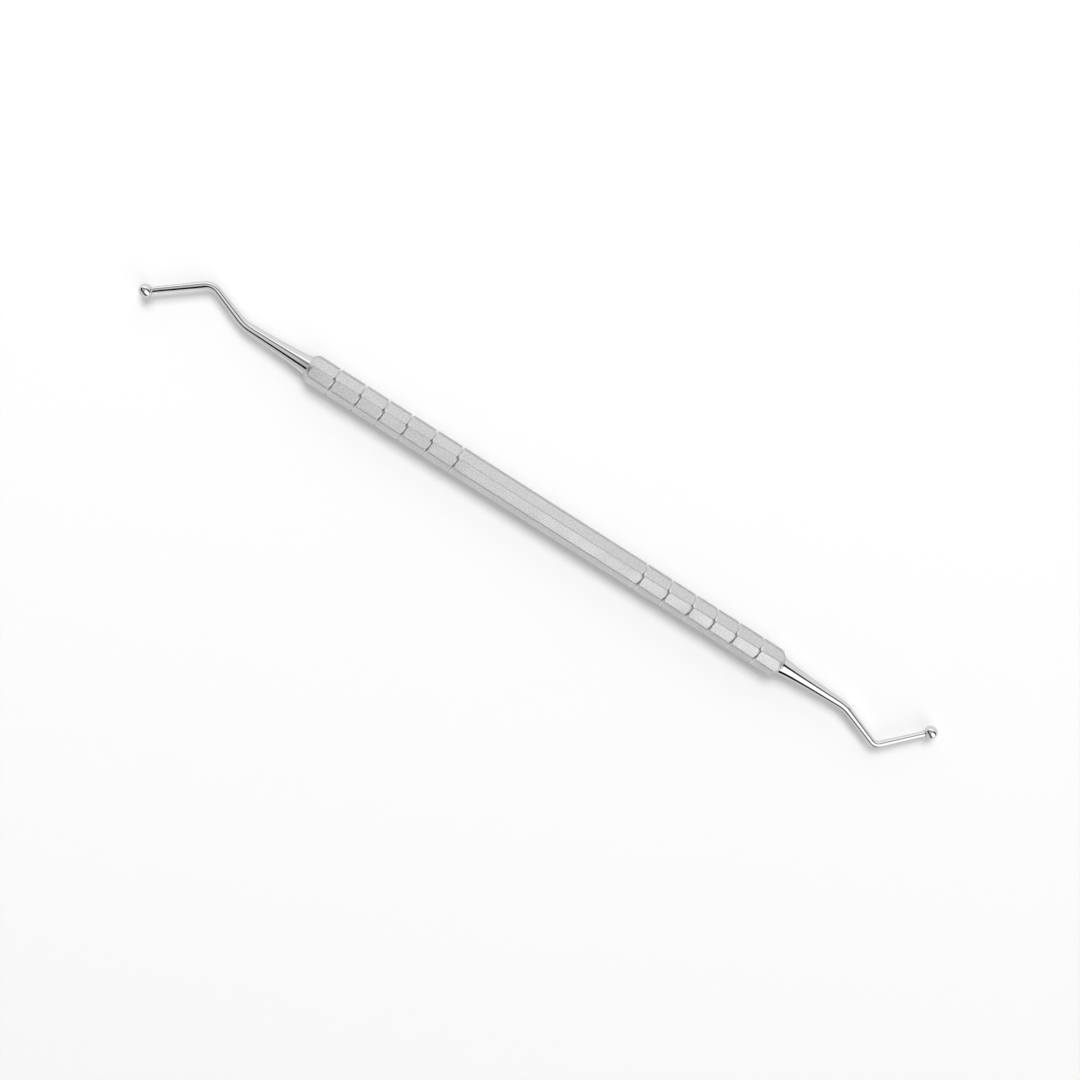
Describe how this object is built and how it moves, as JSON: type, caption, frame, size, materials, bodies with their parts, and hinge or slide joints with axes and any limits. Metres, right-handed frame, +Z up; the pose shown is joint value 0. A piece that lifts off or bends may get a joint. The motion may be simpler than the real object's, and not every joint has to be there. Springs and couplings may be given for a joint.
{
  "type": "clay modeling tool",
  "caption": "Double-ended ball stylus for clay: grooved octagonal steel handle, bent tapered shank and polished ball at each end.",
  "frame": {"origin": "middle of the flat that the handle lies on, halfway along the handle", "axes": "+X along the handle towards the right shank, +Z up out of the flat opposite, Y across the handle in the plane of the shanks' bends"},
  "size_m": [0.178, 0.0121, 0.0055],
  "materials": {
    "satin_steel": "fine bead-blasted satin with a light sparkle",
    "polished_steel": "mirror polish on stainless steel"
  },
  "bodies": {
    "root": {"handle": "satin_steel", "left_shank": "polished_steel", "right_shank": "polished_steel", "left_ball": "polished_steel", "right_ball": "polished_steel"}
  },
  "joints": []
}
